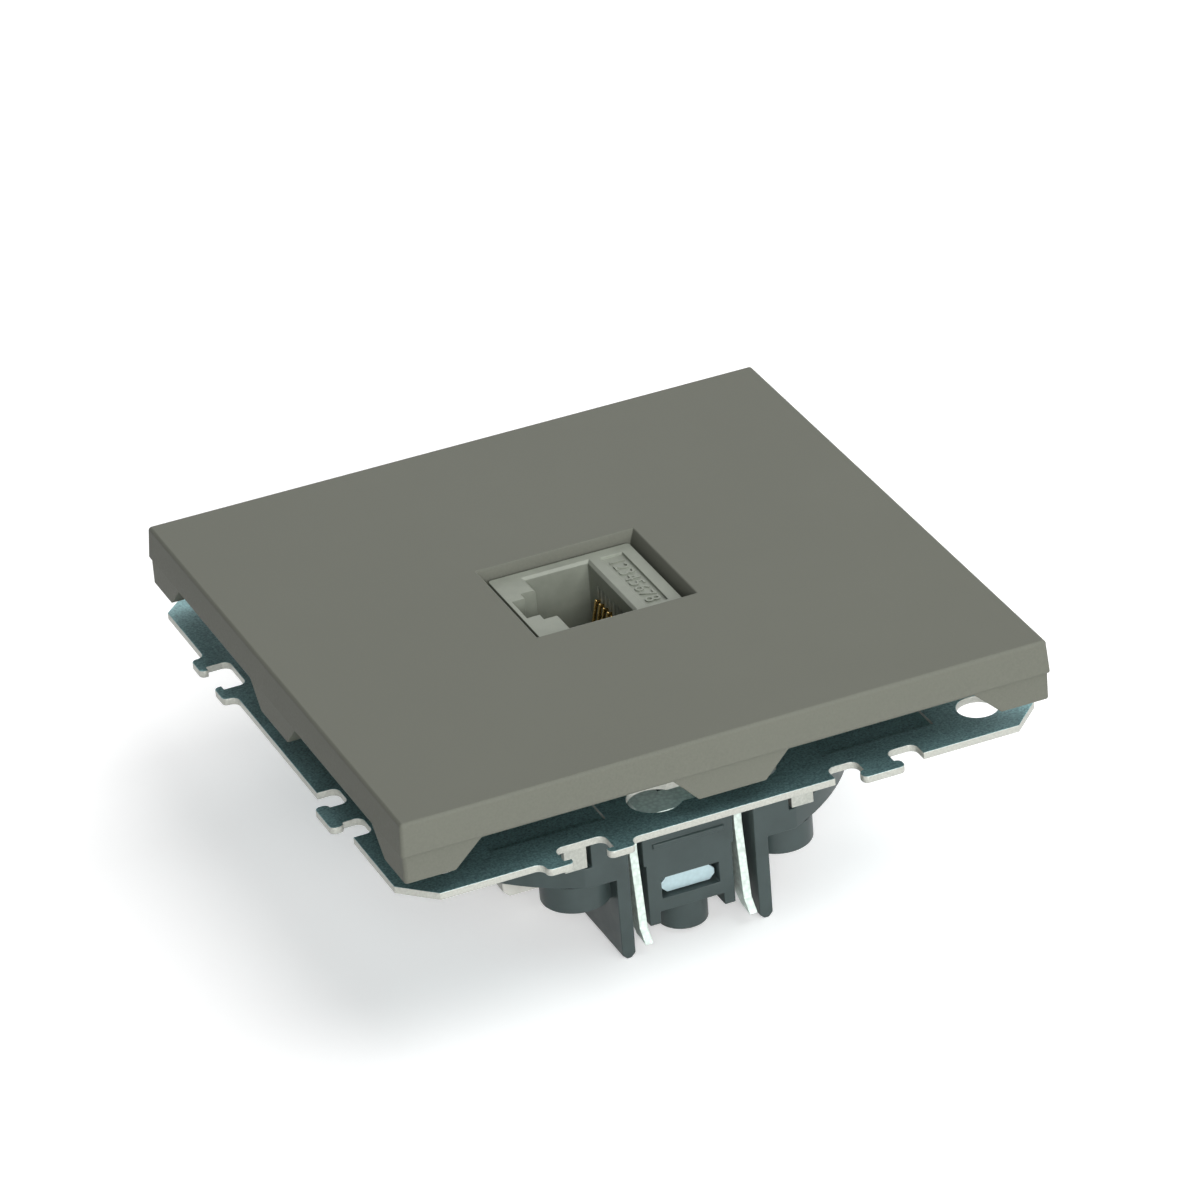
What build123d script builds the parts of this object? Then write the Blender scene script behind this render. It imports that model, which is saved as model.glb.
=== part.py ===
from build123d import *
import os

# Flush ethernet wall socket, in millimetres.
# The origin is the centre of the support plate's back, which lies on the wall.
# +Z points out of the wall and +X points up it once the socket is fixed.

# Clearances, and the tolerance for finding corners by place
moving_gap = 0.3
seat_gap = 0.1
shaft_gap = 0.06
tiny = 0.01

# Support plate, pressed from sheet steel
plate_size = 71.0
plate_thickness = 0.8
plate_chamfer = 3.5
corner_hole_pitch = 60.0
corner_hole_radius = 2.2
keyhole_reach = 29.6
keyhole_head_radius = 2.9
keyhole_head_offset = -6.1
keyhole_slot_radius = 1.95
keyhole_slot_end = 7.2
window_length = 45.2
window_gap = 1.7
panel_inner = 12.0
panel_outer = 24.6
panel_low = 25.2
panel_high = 30.7
panel_depth = 0.35

# Coupling hooks along the plate's edges
hook_offset = 16.2
hook_head_width = 4.7
hook_neck_width = 3.4
hook_reach = 1.35
hook_head_height = 1.5
hook_notch_width = 9.9
hook_notch_depth = 2.2
hook_radius = 0.6
hook_root_radius = 0.85
finger_reach = 1.5
pocket_width = 5.4
pocket_mouth = 3.8
pocket_depth = 1.95
pocket_lip = 0.6
finger_span = 9.6

# Lugs folded down from the plate to the base
lug_inner = 11.5
lug_width = 2.5
lug_foot_width = 4.6
lug_foot_length = 5.4
lug_relief = 0.6

# Base body, moulded in one piece
disc_radius = 26.3
disc_thickness = 2.4
base_depth = 9.1
core_length = 37.8
core_width = 26.8
core_wall = 2.1
core_radius = 2.0
core_rise = 4.5
rebate_depth = 1.6
rebate_width = 0.65
wing_front = 23.6
pillar_width = 2.55
pillar_thickness = 2.0
fin_inner = 7.05
fin_thickness = 1.5
fin_length = 10.8
fin_depth = 21.1
fin_chamfer = 0.5
boss_spacing_x = 23.0
boss_spacing_y = 38.6
boss_radius = 3.7
boss_depth = 3.1

# Claw tower, one at the front and one at the back of the base
tower_width = 10.2
tower_front = 22.7
tower_foot_width = 9.7
tower_step_depth = 2.5
tower_foot_back = 14.4
ledge_width = 8.0
ledge_height = 0.6
ledge_relief = 0.3
nut_window_width = 6.5
nut_window_top = 13.4
nut_window_bottom = 15.8
crossbar_bottom = 17.3
leg_bottom = 18.7
leg_width = 1.25
tube_radius = 2.7
tube_bottom = 20.5
tower_skin = 0.5
tower_drop = 4.5
screw_post_radius = 2.4
screw_post_rib = 2.0

# Claw screw, nut and claw
screw_y = 19.7
screw_radius = 1.45
screw_head_radius = 2.5
screw_head_height = 1.8
screw_head_lift = 0.1
screw_head_chamfer = 0.5
screw_slot_width = 0.8
screw_slot_depth = 0.9
nut_width = 6.0
nut_depth = 4.4
nut_height = 1.8
nut_corner = 0.6
nut_ear_span = 12.6
nut_ear_depth = 1.3
nut_lift = 3.5
claw_sheet = 0.9
claw_width = 12.7
eye_gap = 0.4
pivot_z = -3.0
pivot_radius = 0.9
eye_radius = 1.7
claw_tip = (24.7, -19.4)
claw_kink = (23.4, -18.1)
claw_waist = (22.2, -9.8)
claw_waist_height = 2.4
claw_foot = (22.4, -19.2)
claw_heel_drop = 0.6
ramp_drop = 0.1
ramp_reach = 0.7
claw_web_reach = 3.8
claw_slot_gap = 0.55
claw_shoulder = (23.6, -5.2)

# Base screws through the lug feet
base_screw_radius = 1.25
base_screw_head_radius = 2.3
base_screw_head_height = 1.5
base_screw_length = 5.0

# Circuit board
board_gap = 0.3
board_thickness = 1.6

# Jack
jack_length = 16.15
jack_width = 14.7
jack_recess = 1.13
jack_corner = 0.4
cavity_low = -4.45
cavity_high = 2.75
cavity_width = 11.9
cavity_depth = 12.6
cavity_bevel = 0.3
latch_low = -6.15
latch_width = 6.2
latch_depth = 9.0
tongue_low = -7.6
tongue_width = 4.0
tongue_depth = 6.5
label_low = 4.1
label_high = 6.7
label_length = 11.7
label_depth = 0.3
peg_radius = 1.5
peg_spacing = 10.2
peg_x = -1.0

# Contact wires
wire_count = 8
wire_pitch = 1.016
wire_thickness = 0.36
wire_groove = 0.62
wire_groove_rise = 1.95
wire_lane = 3.55
wire_fold_drop = 3.9
wire_fold_reach = 1.1
wire_fold_rise = 0.3
wire_free_x = 0.75
wire_free_drop = 11.2
wire_bend = 0.45

# Insulation displacement blocks and their forks
block_inset = 1.1
block_length = 17.2
block_width = 6.8
block_height = 10.4
block_chamfer = 0.7
fork_count = 4
fork_pitch = 4.0
fork_width = 2.4
fork_sheet = 0.5
fork_slit = 0.4
fork_slit_depth = 4.6
fork_inset = 0.7
wire_slot = 1.3
wire_slot_depth = 5.4

# Jack frame that closes the core
frame_collar_wall = 1.2
frame_collar_depth = 3.0

# Cover plate
cover_size = 71.5
cover_gap = 2.1
cover_depth = 6.8
cover_wall = 1.7
cover_face = 1.8
cover_flare = 0.25
cover_band = 3.7
cover_step = 0.22
cover_edge = 0.25
cover_corner_radius = 0.4
cut_height = 2.85
cut_inner_top = 6.35
cut_outer_top = 27.1
cut_inner_bottom = 3.7
cut_outer_bottom = 30.1
aperture_length = 18.1
aperture_width = 16.2
aperture_taper_depth = 1.2
aperture_gap = 0.38
aperture_collar = 1.2
aperture_collar_depth = 2.4
clip_width = 6.0
clip_thickness = 1.4
clip_end_gap = 0.4
rib_thickness = 1.0
rib_depth = 2.2
rib_offset = 24.0
post_length = 3.2
post_thickness = 1.6

# Sizes and levels that follow from the ones above
half_plate = plate_size / 2
fin_outer = fin_inner + fin_thickness
window_width = core_length + 2 * window_gap
core_inner_length = core_length - 2 * core_wall
core_inner_width = core_width - 2 * core_wall
board_length = core_inner_length - 2 * board_gap
board_width = core_inner_width - 2 * board_gap
block_offset = board_length / 2 - block_width / 2 - block_inset
pivot_y = core_width / 2 + eye_radius + eye_gap
disc_top = -base_depth
disc_bottom = disc_top - disc_thickness
board_top = disc_top + board_thickness
cover_bottom = plate_thickness + cover_gap
cover_top = cover_bottom + cover_depth
cover_underside = cover_top - cover_face
jack_top = cover_top - jack_recess
fold_top = jack_top - wire_fold_drop
nut_bottom = -nut_window_bottom + moving_gap / 2
nut_top = nut_bottom + nut_height
channel_top = nut_top + nut_lift + moving_gap
lug_back = window_length / 2
lug_front = lug_back + plate_thickness
boss_x = boss_spacing_x / 2
boss_y = boss_spacing_y / 2
nut_back = screw_y - nut_depth / 2
ear_back = nut_back - nut_ear_depth
clip_x = core_length / 2 + moving_gap + clip_thickness / 2
claw_web_out = tower_front + claw_web_reach
claw_web_back = pivot_y + eye_radius + claw_slot_gap


def save(piece, name):
    """Label a finished piece and write it to its own file."""
    piece.part.label = name
    export_step(piece.part, "parts/" + name + ".step")


def corners(piece, width, reach):
    """The upright edges of the hooks or pockets of this width that lie this far out from the plate's edge."""
    found = []
    for edge in piece.edges().filter_by(Axis.Z):
        along, out = sorted((abs(edge.center().X), abs(edge.center().Y)))
        if abs(abs(along - hook_offset) - width / 2) < tiny and abs(out - half_plate - reach) < tiny:
            found.append(edge)
    return found


os.makedirs("parts", exist_ok=True)

# Support plate
with BuildPart() as support_plate:
    with BuildSketch() as outline:
        Rectangle(plate_size, plate_size)
        chamfer(outline.vertices(), plate_chamfer)
        with PolarLocations(0, 4):
            with Locations((hook_offset, -half_plate)):
                Rectangle(hook_notch_width, 2 * hook_notch_depth, mode=Mode.SUBTRACT)
            with Locations((hook_offset, -half_plate + (hook_notch_depth - hook_reach) / 2)):
                Rectangle(hook_neck_width, hook_notch_depth + hook_reach)
            with Locations((hook_offset, -half_plate - hook_reach + hook_head_height / 2)):
                Rectangle(hook_head_width, hook_head_height)
            with Locations((-hook_offset, -half_plate)):
                Rectangle(finger_span, 2 * finger_reach)
            with Locations((-hook_offset, -half_plate + (pocket_depth - pocket_lip) / 2)):
                Rectangle(pocket_width, pocket_depth + pocket_lip, mode=Mode.SUBTRACT)
            with Locations((-hook_offset, -half_plate)):
                Rectangle(pocket_mouth, 2 * pocket_depth, mode=Mode.SUBTRACT)
    extrude(amount=plate_thickness)
    ends = corners(support_plate, hook_head_width, hook_reach)
    ends += corners(support_plate, hook_head_width, hook_reach - hook_head_height)
    ends += corners(support_plate, finger_span, finger_reach)
    ends += corners(support_plate, pocket_mouth, finger_reach)
    fillet(ends, hook_radius)
    roots = corners(support_plate, hook_notch_width, -hook_notch_depth)
    roots += corners(support_plate, hook_neck_width, -hook_notch_depth)
    roots += corners(support_plate, pocket_width, -pocket_depth)
    roots += corners(support_plate, finger_span, 0)
    fillet(roots, hook_root_radius)
    with BuildSketch():
        with GridLocations(corner_hole_pitch, corner_hole_pitch, 2, 2):
            Circle(corner_hole_radius)
        with PolarLocations(0, 4):
            with Locations((keyhole_head_offset, -keyhole_reach)):
                Circle(keyhole_head_radius)
            with Locations(((keyhole_head_offset + keyhole_slot_end) / 2, -keyhole_reach)):
                SlotOverall(keyhole_slot_end - keyhole_head_offset, 2 * keyhole_slot_radius)
        Rectangle(window_width, window_length)
        Rectangle(2 * lug_inner, 2 * (wing_front + moving_gap))
        with GridLocations(2 * lug_inner + lug_width, 0, 2, 1):
            Rectangle(lug_width + 2 * lug_relief, 2 * lug_front)
    extrude(amount=plate_thickness, mode=Mode.SUBTRACT)
    with BuildSketch(Plane.XY.offset(plate_thickness)):
        with PolarLocations(0, 4):
            with Locations(
                ((panel_inner + panel_outer) / 2, -(panel_low + panel_high) / 2),
                (-(panel_inner + panel_outer) / 2, -(panel_low + panel_high) / 2),
            ):
                Rectangle(panel_outer - panel_inner, panel_high - panel_low)
    extrude(amount=-panel_depth, mode=Mode.SUBTRACT)
    with BuildSketch(Plane.XY.offset(disc_top)):
        with GridLocations(2 * lug_inner + lug_width, 2 * lug_front - plate_thickness, 2, 2):
            Rectangle(lug_width, plate_thickness)
    extrude(amount=plate_thickness - disc_top)
    with BuildSketch(Plane.XY.offset(disc_top)):
        with GridLocations(2 * lug_inner + lug_width, 2 * lug_front - lug_foot_length, 2, 2):
            Rectangle(lug_width, lug_foot_length)
        with GridLocations(2 * boss_x, 2 * boss_y, 2, 2):
            Rectangle(lug_foot_width, lug_foot_width)
            Circle(base_screw_radius + shaft_gap, mode=Mode.SUBTRACT)
    extrude(amount=plate_thickness)

# Base body
with BuildPart() as base_body:
    with BuildSketch(Plane.XY.offset(disc_bottom)):
        Circle(disc_radius)
        with GridLocations(0, 2 * disc_radius, 1, 2):
            Rectangle(2 * disc_radius, 2 * (disc_radius - wing_front), mode=Mode.SUBTRACT)
    extrude(amount=disc_thickness)
    with BuildSketch(Plane.XY.offset(disc_top)):
        RectangleRounded(core_length, core_width, core_radius)
        Rectangle(core_inner_length, core_inner_width, mode=Mode.SUBTRACT)
    extrude(amount=core_rise - disc_top)
    with BuildSketch(Plane.XY.offset(core_rise)):
        Rectangle(core_inner_length + 2 * rebate_width, core_inner_width + 2 * rebate_width)
    extrude(amount=-rebate_depth, mode=Mode.SUBTRACT)
    with BuildSketch(Plane.XY.offset(disc_bottom)):
        with PolarLocations(0, 2):
            for side in (-1, 1):
                pillar_x = side * (fin_outer + pillar_width / 2)
                with Locations((pillar_x, pillar_thickness / 2 - wing_front)):
                    Rectangle(pillar_width, pillar_thickness)
                with Locations((side * (fin_inner + fin_thickness / 2), fin_length / 2 - wing_front)):
                    Rectangle(fin_thickness, fin_length)
    extrude(amount=-disc_bottom)
    with BuildSketch(Plane.XY.offset(-fin_depth)):
        with PolarLocations(0, 2):
            for side in (-1, 1):
                with Locations((side * (fin_inner + fin_thickness / 2), fin_length / 2 - wing_front)):
                    Rectangle(fin_thickness, fin_length)
    extrude(amount=fin_depth + disc_bottom)
    chamfer(base_body.edges().filter_by(Axis.Y).group_by(Axis.Z)[0], fin_chamfer)
    with BuildSketch(Plane.XY.offset(disc_bottom)):
        with GridLocations(2 * boss_x, 2 * boss_y, 2, 2):
            Circle(boss_radius)
    extrude(amount=-boss_depth)
    with BuildSketch(Plane.XY.offset(disc_top)):
        with GridLocations(2 * boss_x, 2 * boss_y, 2, 2):
            Circle(base_screw_radius + shaft_gap)
    extrude(amount=-base_screw_length, mode=Mode.SUBTRACT)
    with BuildSketch(Plane.XY.offset(disc_bottom)):
        with GridLocations(2 * block_offset, 0, 2, 1):
            Rectangle(block_width + 2 * moving_gap, block_length + 2 * moving_gap)
        with PolarLocations(0, 2):
            with Locations((0, -(disc_radius + pivot_y - eye_radius - moving_gap) / 2)):
                Rectangle(2 * fin_inner, disc_radius - pivot_y + eye_radius + moving_gap)
    extrude(amount=disc_thickness, mode=Mode.SUBTRACT)
    with BuildSketch(Plane.XY.offset(disc_bottom)):
        with PolarLocations(0, 2):
            with Locations((0, -(tower_front + core_inner_width / 2) / 2)):
                Rectangle(tower_width, tower_front - core_inner_width / 2)
    extrude(amount=-disc_bottom - tower_drop)
    with BuildSketch(Plane.XY.offset(-tower_drop)):
        with PolarLocations(0, 2):
            with Locations((0, -(pivot_y + eye_radius + core_inner_width / 2) / 2)):
                Rectangle(tower_width, pivot_y + eye_radius - core_inner_width / 2)
            with Locations((0, -(pivot_y + screw_y) / 2)):
                Rectangle(screw_post_rib, screw_y - pivot_y)
            with Locations((0, -screw_y)):
                Circle(screw_post_radius)
    extrude(amount=tower_drop)
    with BuildSketch(Plane.XY.offset(-crossbar_bottom)):
        with PolarLocations(0, 2):
            with Locations((0, -(tower_front + tower_foot_back) / 2)):
                Rectangle(tower_foot_width, tower_front - tower_foot_back)
    extrude(amount=crossbar_bottom + disc_bottom)
    with BuildSketch(Plane.XY.offset(-leg_bottom)):
        with PolarLocations(0, 2):
            for side in (-1, 1):
                leg_x = side * (tower_foot_width - leg_width) / 2
                with Locations((leg_x, -(tower_front + tower_foot_back) / 2)):
                    Rectangle(leg_width, tower_front - tower_foot_back)
    extrude(amount=leg_bottom - crossbar_bottom)
    with BuildSketch(Plane.XY.offset(-tube_bottom)):
        with PolarLocations(0, 2):
            with Locations((0, -screw_y)):
                Circle(tube_radius)
    extrude(amount=tube_bottom - crossbar_bottom)
    with BuildSketch(Plane.XY.offset(disc_bottom + tower_step_depth - ledge_height)):
        with PolarLocations(0, 2):
            with Locations((0, -tower_front)):
                Rectangle(ledge_width, 2 * ledge_relief)
    extrude(amount=ledge_height)
    with BuildSketch(Plane.XY.offset(-nut_window_bottom)):
        with PolarLocations(0, 2):
            with Locations((0, -(tower_front - tower_skin + nut_back) / 2)):
                Rectangle(nut_window_width, tower_front - tower_skin - nut_back + moving_gap)
            with Locations((0, -(nut_back + ear_back) / 2)):
                Rectangle(2 * fin_inner, nut_ear_depth + 2 * moving_gap)
    extrude(amount=nut_window_bottom + channel_top, mode=Mode.SUBTRACT)
    with BuildSketch(Plane.XY.offset(-nut_window_bottom)):
        with PolarLocations(0, 2):
            with Locations((0, -tower_front)):
                Rectangle(nut_window_width, 3 * tower_skin)
    extrude(amount=nut_window_bottom - nut_window_top, mode=Mode.SUBTRACT)
    with BuildSketch(Plane.XY.offset(-tube_bottom)):
        with PolarLocations(0, 2):
            with Locations((0, -screw_y)):
                Circle(screw_radius + shaft_gap)
    extrude(amount=tube_bottom, mode=Mode.SUBTRACT)
    with BuildSketch(Plane.YZ.offset(-fin_inner + moving_gap / 2)):
        with Locations((-pivot_y, pivot_z), (pivot_y, pivot_z)):
            Circle(pivot_radius)
    extrude(amount=2 * fin_inner - moving_gap)

# Claw at the front, a bent steel strip
with BuildPart() as claw_front:
    ramp_low = (nut_back + moving_gap, nut_top - ramp_drop)
    ramp_high = (pivot_y + ramp_reach, nut_top + nut_lift)
    with BuildSketch(Plane.YZ.offset(-claw_width / 2)):
        with BuildLine():
            Polyline(
                (-claw_web_out, pivot_z),
                (-claw_web_out, pivot_z - claw_sheet),
                (-claw_shoulder[0], claw_shoulder[1]),
                (-claw_waist[0], claw_waist[1] + claw_waist_height),
                (-claw_waist[0], claw_waist[1]),
                (-claw_kink[0], claw_kink[1]),
                (-claw_tip[0], claw_tip[1]),
                (-claw_foot[0], claw_foot[1]),
                (-ramp_low[0], nut_bottom - claw_heel_drop),
                (-ramp_low[0], ramp_low[1]),
                (-ramp_high[0], ramp_high[1]),
                (-pivot_y + eye_radius, pivot_z),
                (-claw_web_out, pivot_z),
            )
        make_face()
        with Locations((-pivot_y, pivot_z)):
            Circle(eye_radius)
            Circle(pivot_radius + shaft_gap, mode=Mode.SUBTRACT)
    extrude(amount=claw_sheet)
    mirror(about=Plane.YZ)
    with BuildSketch(Plane.XY.offset(pivot_z)):
        with Locations((0, -(claw_web_out + claw_web_back) / 2)):
            Rectangle(claw_width, claw_web_out - claw_web_back)
        slot_half = screw_post_radius + claw_slot_gap
        with Locations((0, -(screw_y + slot_half + claw_web_back) / 2)):
            Rectangle(2 * slot_half, screw_y + slot_half - claw_web_back, mode=Mode.SUBTRACT)
    extrude(amount=-claw_sheet)

with BuildPart() as claw_back:
    add(claw_front.part, rotation=(0, 0, 180))

# Claw screw at the front
with BuildPart() as claw_screw_front:
    with BuildSketch(Plane.XY.offset(screw_head_lift)):
        with Locations((0, -screw_y)):
            Circle(screw_head_radius)
    extrude(amount=screw_head_height)
    chamfer(claw_screw_front.edges().group_by(Axis.Z)[-1], screw_head_chamfer)
    with BuildSketch(Plane.XY.offset(-tube_bottom)):
        with Locations((0, -screw_y)):
            Circle(screw_radius)
    extrude(amount=tube_bottom + screw_head_lift)
    with BuildSketch(Plane.XY.offset(screw_head_lift + screw_head_height)):
        with Locations((0, -screw_y)):
            Rectangle(3 * screw_head_radius, screw_slot_width)
    extrude(amount=-screw_slot_depth, mode=Mode.SUBTRACT)

with BuildPart() as claw_screw_back:
    add(claw_screw_front.part, rotation=(0, 0, 180))

# Claw nut at the front, whose ears reach behind the claw's arms
with BuildPart() as claw_nut_front:
    with BuildSketch(Plane.XZ.offset(nut_back)) as nut_face:
        with Locations((0, nut_bottom + nut_height / 2)):
            Rectangle(nut_width, nut_height)
        chamfer(nut_face.vertices().group_by(Axis.Z)[-1], nut_corner)
    extrude(amount=nut_depth)
    with BuildSketch(Plane.XY.offset(nut_bottom)):
        with Locations((0, -(nut_back + ear_back) / 2)):
            Rectangle(nut_ear_span, nut_ear_depth)
    extrude(amount=nut_height)
    with BuildSketch(Plane.XY.offset(nut_bottom)):
        with Locations((0, -screw_y)):
            Circle(screw_radius + shaft_gap)
    extrude(amount=nut_height, mode=Mode.SUBTRACT)

with BuildPart() as claw_nut_back:
    add(claw_nut_front.part, rotation=(0, 0, 180))

# Screws that hold the lug feet down on the base
with BuildPart() as base_screws:
    foot_top = disc_top + plate_thickness
    with BuildSketch(Plane.XY.offset(foot_top)):
        with GridLocations(2 * boss_x, 2 * boss_y, 2, 2):
            Circle(base_screw_head_radius)
    extrude(amount=base_screw_head_height)
    with BuildSketch(Plane.XY.offset(foot_top)):
        with GridLocations(2 * boss_x, 2 * boss_y, 2, 2):
            Circle(base_screw_radius)
    extrude(amount=-base_screw_length)

# Circuit board on the base disc
with BuildPart() as circuit_board:
    with BuildSketch(Plane.XY.offset(disc_top)):
        Rectangle(board_length, board_width)
        with Locations((peg_x, 0)):
            with GridLocations(0, peg_spacing, 1, 2):
                Circle(peg_radius + seat_gap, mode=Mode.SUBTRACT)
    extrude(amount=board_thickness)

# Jack housing, with its opening for the plug, latch steps and wire grooves
with BuildPart() as jack_housing:
    with BuildSketch(Plane.XY.offset(board_top)):
        RectangleRounded(jack_length, jack_width, jack_corner)
    extrude(amount=jack_top - board_top)
    with BuildSketch(Plane.XY.offset(disc_top)):
        with Locations((peg_x, 0)):
            with GridLocations(0, peg_spacing, 1, 2):
                Circle(peg_radius)
    extrude(amount=board_thickness)
    with BuildSketch(Plane.XY.offset(jack_top)):
        with Locations(((cavity_low + cavity_high) / 2, 0)):
            Rectangle(cavity_high - cavity_low, cavity_width)
    extrude(amount=-cavity_depth, mode=Mode.SUBTRACT)
    with BuildSketch(Plane.XY.offset(jack_top)):
        with Locations(((cavity_low + cavity_high) / 2, 0)):
            Rectangle(cavity_high - cavity_low + 2 * cavity_bevel, cavity_width + 2 * cavity_bevel)
    extrude(amount=-cavity_bevel, taper=45, mode=Mode.SUBTRACT)
    with BuildSketch(Plane.XY.offset(jack_top)):
        with Locations(((latch_low + cavity_low) / 2, 0)):
            Rectangle(cavity_low - latch_low, latch_width)
    extrude(amount=-latch_depth, mode=Mode.SUBTRACT)
    with BuildSketch(Plane.XY.offset(jack_top)):
        with Locations(((tongue_low + latch_low) / 2, 0)):
            Rectangle(latch_low - tongue_low, tongue_width)
    extrude(amount=-tongue_depth, mode=Mode.SUBTRACT)
    with BuildSketch(Plane.XY.offset(jack_top)):
        with Locations(((label_low + label_high) / 2, 0)):
            Rectangle(label_high - label_low, label_length)
    extrude(amount=-label_depth, mode=Mode.SUBTRACT)
    with BuildSketch(Plane.XY.offset(board_top)):
        with Locations(((cavity_high + wire_lane) / 2, 0)):
            with GridLocations(0, wire_pitch, 1, wire_count):
                Rectangle(wire_lane - cavity_high + 2 * wire_groove, wire_groove)
    extrude(amount=fold_top + wire_groove_rise - board_top, mode=Mode.SUBTRACT)

# Contact wires, folded back into the cavity
for number in range(wire_count):
    wire_y = (number - (wire_count - 1) / 2) * wire_pitch
    with BuildPart() as contact_wire:
        with BuildLine(Plane.XZ.offset(-wire_y)) as route:
            Polyline(
                (wire_lane, board_top),
                (wire_lane, fold_top - wire_bend),
                (wire_lane - wire_bend, fold_top),
                (wire_lane - wire_fold_reach, fold_top + wire_fold_rise),
                (wire_free_x, jack_top - wire_free_drop),
            )
        with BuildSketch(Plane.XY.offset(board_top)):
            with Locations((wire_lane, wire_y)):
                Rectangle(wire_thickness, wire_thickness)
        sweep(path=route.wires()[0], transition=Transition.RIGHT)
    save(contact_wire, "contact_wire_" + str(number + 1))

# Insulation displacement blocks under the board
for name, side in (("idc_block_left", -1), ("idc_block_right", 1)):
    with BuildPart() as idc_block:
        with BuildSketch(Plane.XY.offset(disc_top)):
            with Locations((side * block_offset, 0)):
                Rectangle(block_width, block_length)
        extrude(amount=-block_height)
        chamfer(idc_block.edges().filter_by(Axis.Y).group_by(Axis.Z)[0], block_chamfer)
        with BuildSketch(Plane.XY.offset(disc_top - block_height)):
            with Locations((side * block_offset, 0)):
                with GridLocations(0, fork_pitch, 1, fork_count):
                    Rectangle(2 * block_width, wire_slot)
        extrude(amount=wire_slot_depth, mode=Mode.SUBTRACT)
        with BuildSketch(Plane.XY.offset(disc_top - block_height)):
            with Locations((side * block_offset, 0)):
                with GridLocations(0, fork_pitch, 1, fork_count):
                    Rectangle(fork_sheet + 2 * seat_gap, fork_width + 2 * seat_gap)
        extrude(amount=block_height, mode=Mode.SUBTRACT)
    save(idc_block, name)

# Forked terminals in the blocks
for number in range(2 * fork_count):
    side = -1 if number < fork_count else 1
    fork_y = (number % fork_count - (fork_count - 1) / 2) * fork_pitch
    with BuildPart() as idc_terminal:
        with BuildSketch(Plane.XY.offset(disc_top)):
            with Locations((side * block_offset, fork_y)):
                Rectangle(fork_sheet, fork_width)
        extrude(amount=-block_height + fork_inset)
        with BuildSketch(Plane.XY.offset(disc_top - block_height + fork_inset)):
            with Locations((side * block_offset, fork_y)):
                Rectangle(2 * fork_sheet, fork_slit)
        extrude(amount=fork_slit_depth, mode=Mode.SUBTRACT)
    save(idc_terminal, "idc_terminal_" + str(number + 1))

# Jack frame, which closes the core and guides the jack
with BuildPart() as jack_frame:
    frame_length = core_inner_length + 2 * rebate_width - 2 * seat_gap
    frame_width = core_inner_width + 2 * rebate_width - 2 * seat_gap
    with BuildSketch(Plane.XY.offset(core_rise)):
        Rectangle(frame_length, frame_width)
    extrude(amount=-rebate_depth)
    with BuildSketch(Plane.XY.offset(core_rise)):
        Rectangle(
            jack_length + 2 * seat_gap + 2 * frame_collar_wall,
            jack_width + 2 * seat_gap + 2 * frame_collar_wall,
        )
    extrude(amount=-rebate_depth - frame_collar_depth)
    with BuildSketch(Plane.XY.offset(core_rise)):
        Rectangle(jack_length + 2 * seat_gap, jack_width + 2 * seat_gap)
    extrude(amount=-rebate_depth - frame_collar_depth, mode=Mode.SUBTRACT)

# Cover plate
with BuildPart() as cover_plate:
    with BuildSketch(Plane.XY.offset(cover_bottom)):
        RectangleRounded(cover_size - 2 * cover_step, cover_size - 2 * cover_step, cover_corner_radius)
    extrude(amount=cover_depth - cover_band)
    with BuildSketch(Plane.XY.offset(cover_top - cover_band)):
        RectangleRounded(cover_size, cover_size, cover_corner_radius)
    with BuildSketch(Plane.XY.offset(cover_top)):
        RectangleRounded(cover_size - 2 * cover_flare, cover_size - 2 * cover_flare, cover_corner_radius)
    loft()
    chamfer(cover_plate.edges().group_by(Axis.Z)[-1], cover_edge)
    with BuildSketch(Plane.XY.offset(cover_bottom)):
        Rectangle(cover_size - 2 * cover_wall, cover_size - 2 * cover_wall)
    extrude(amount=cover_depth - cover_face, mode=Mode.SUBTRACT)
    for plane in (Plane.XZ, Plane.YZ):
        with BuildSketch(plane):
            for side in (-1, 1):
                with BuildLine():
                    Polyline(
                        (side * cut_inner_bottom, cover_bottom),
                        (side * cut_inner_top, cover_bottom + cut_height),
                        (side * cut_outer_top, cover_bottom + cut_height),
                        (side * cut_outer_bottom, cover_bottom),
                        close=True,
                    )
                make_face()
        extrude(amount=cover_size, both=True, mode=Mode.SUBTRACT)
    with BuildSketch(Plane.XY.offset(cover_underside)):
        for offset in (-rib_offset, rib_offset):
            with Locations((offset, 0)):
                Rectangle(rib_thickness, cover_size - 2 * cover_wall)
            with Locations((0, offset)):
                Rectangle(cover_size - 2 * cover_wall, rib_thickness)
    extrude(amount=-rib_depth)
    with BuildSketch(Plane.XY.offset(cover_underside)):
        with GridLocations(core_length - core_wall, core_width - core_wall, 2, 2):
            Rectangle(post_length, post_thickness)
    extrude(amount=core_rise + moving_gap - cover_underside)
    with BuildSketch(Plane.XY.offset(cover_underside)):
        with Locations((clip_x, 0), (-clip_x, 0)):
            Rectangle(clip_thickness, clip_width)
    extrude(amount=plate_thickness + clip_end_gap - cover_underside)
    with BuildSketch(Plane.XY.offset(cover_underside)):
        Rectangle(
            jack_length + 2 * aperture_gap + 2 * aperture_collar,
            jack_width + 2 * aperture_gap + 2 * aperture_collar,
        )
    extrude(amount=-aperture_collar_depth)
    with BuildSketch(Plane.XY.offset(cover_top)):
        Rectangle(jack_length + 2 * aperture_gap, jack_width + 2 * aperture_gap)
    extrude(amount=-cover_face - aperture_collar_depth, mode=Mode.SUBTRACT)
    with BuildSketch(Plane.XY.offset(cover_top)):
        Rectangle(aperture_length, aperture_width)
    with BuildSketch(Plane.XY.offset(cover_top - aperture_taper_depth)):
        Rectangle(jack_length + 2 * aperture_gap, jack_width + 2 * aperture_gap)
    loft(mode=Mode.SUBTRACT)

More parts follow.
